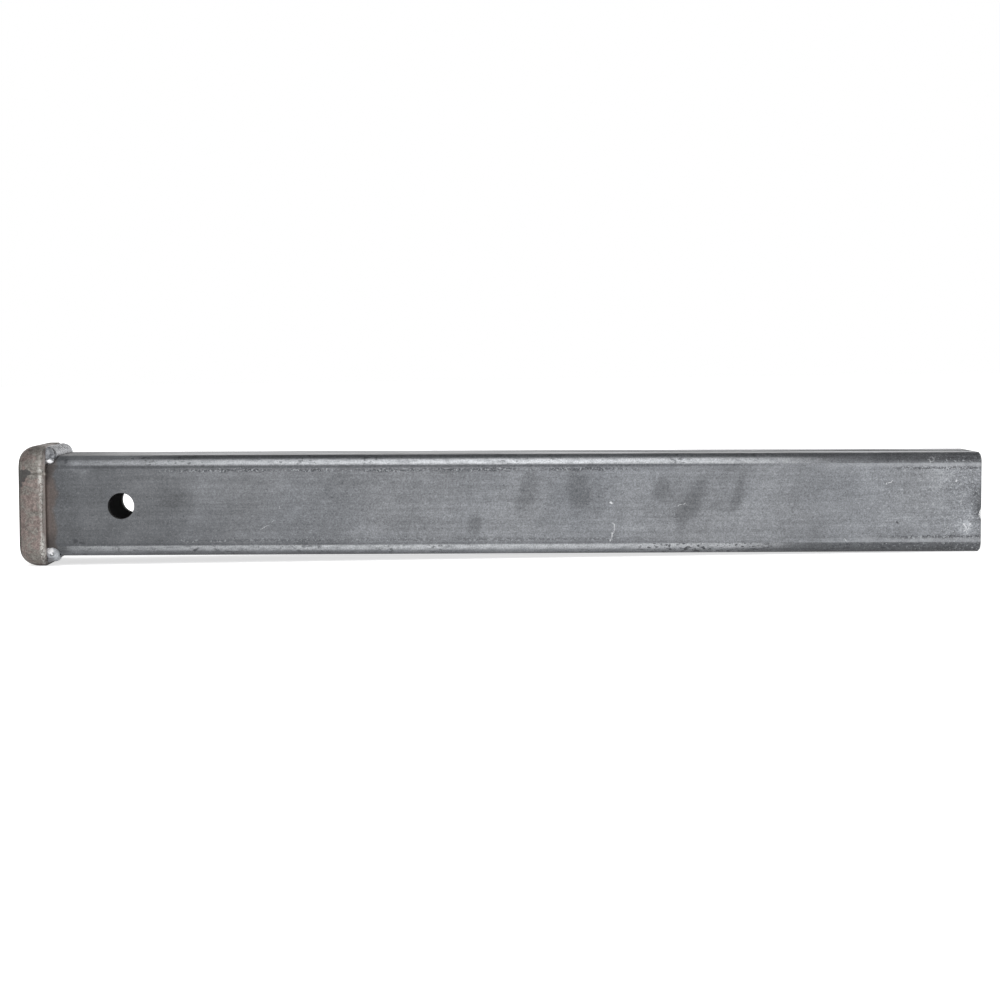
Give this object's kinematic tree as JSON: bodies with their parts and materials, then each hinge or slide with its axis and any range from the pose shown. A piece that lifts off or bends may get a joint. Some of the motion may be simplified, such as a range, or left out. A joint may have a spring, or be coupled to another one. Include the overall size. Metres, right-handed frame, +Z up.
{
  "type": "receiver tube",
  "caption": "Square steel receiver tube, open at both ends, with a rounded collar welded round its mouth and a cross hole for a hitch pin.",
  "frame": {"origin": "centre of the hitch pin hole, on the axis of the tube", "axes": "+X along the tube from the mouth to the rear end, +Y along the pin hole, +Z up"},
  "size_m": [0.6096, 0.0762, 0.0762],
  "materials": {
    "tube_steel": "raw mill finish",
    "collar_steel": "raw, scaled",
    "weld_metal": "as welded"
  },
  "bodies": {
    "root": {"receiver_tube": "tube_steel", "mouth_collar": "collar_steel", "weld_bead_top": "weld_metal", "weld_bead_bottom": "weld_metal"}
  },
  "joints": []
}
